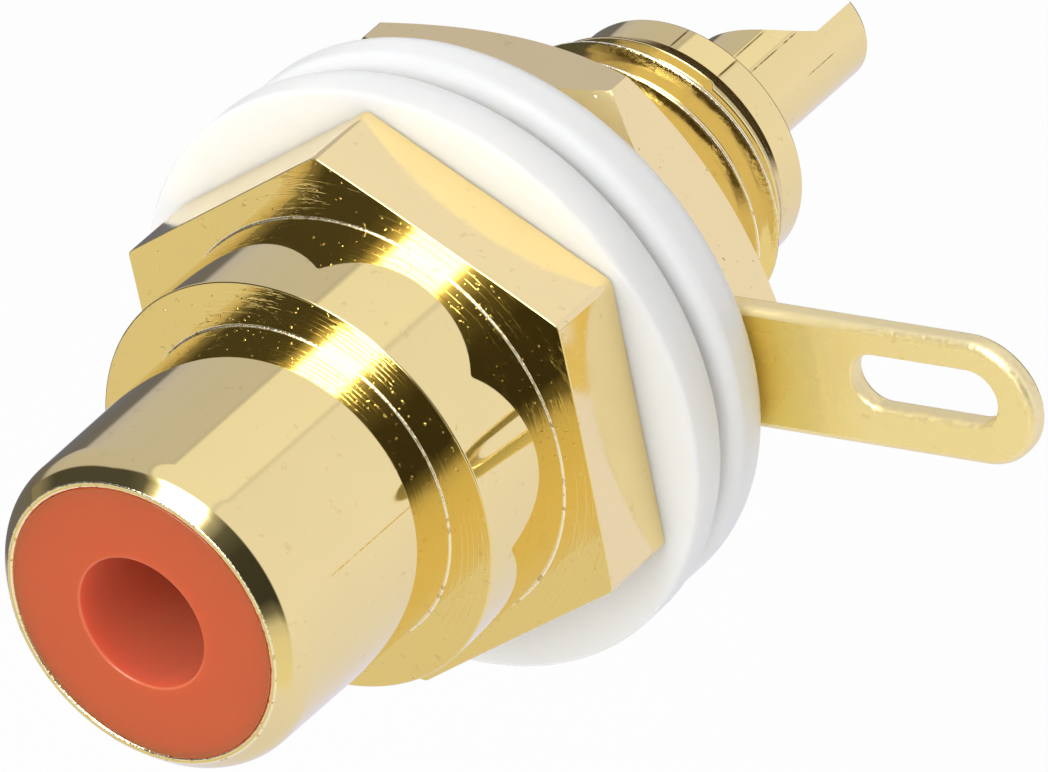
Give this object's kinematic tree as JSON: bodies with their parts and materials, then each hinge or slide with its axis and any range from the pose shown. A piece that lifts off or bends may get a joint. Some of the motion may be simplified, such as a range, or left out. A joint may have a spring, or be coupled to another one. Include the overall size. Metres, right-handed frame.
{
  "type": "panel-mount phono socket",
  "caption": "Gold-plated panel-mount phono socket: turned shell with hexagon and threaded shank, red insulator, insulating washers, slotted solder tag, hex nut and solder cup.",
  "frame": {"origin": "on the socket's axis at the rear face of the front washer, where the front surface of the panel sits", "axes": "+Y runs along the axis from the mouth to the solder cup, +Z points to a corner of the shell's hexagon, +X is the direction of the solder tag"},
  "size_m": [0.0226, 0.0281, 0.0153],
  "materials": {
    "gold_plate": "polished gold plate over turned brass",
    "tag_gold_plate": "satin gold plate over pressed brass sheet",
    "red_insulator": "moulded, slightly satin",
    "white_bush": "moulded, satin",
    "white_nylon": "moulded, smooth"
  },
  "bodies": {
    "socket": {"shell": "gold_plate", "front_insulator": "red_insulator", "centre_contact": "gold_plate", "rear_insulator": "white_bush", "front_washer": "white_nylon"},
    "clamp": {"rear_washer": "white_nylon", "solder_tag": "tag_gold_plate"},
    "nut": {"hex_nut": "gold_plate"}
  },
  "joints": [
    {"name": "clamp_travel", "type": "slide", "parent": "socket", "child": "clamp", "axis": [0, 1, 0], "range_m": [0, 0.0034]},
    {"name": "nut_turn", "type": "hinge", "parent": "clamp", "child": "nut", "pos_m": [0, 0.00294, 0], "axis": [0, 1, 0], "range_deg": [0, 1440]}
  ],
  "couplings": [
    {"joint": "nut_turn", "follows": "clamp_travel", "rad_per_m": 7391.9}
  ]
}
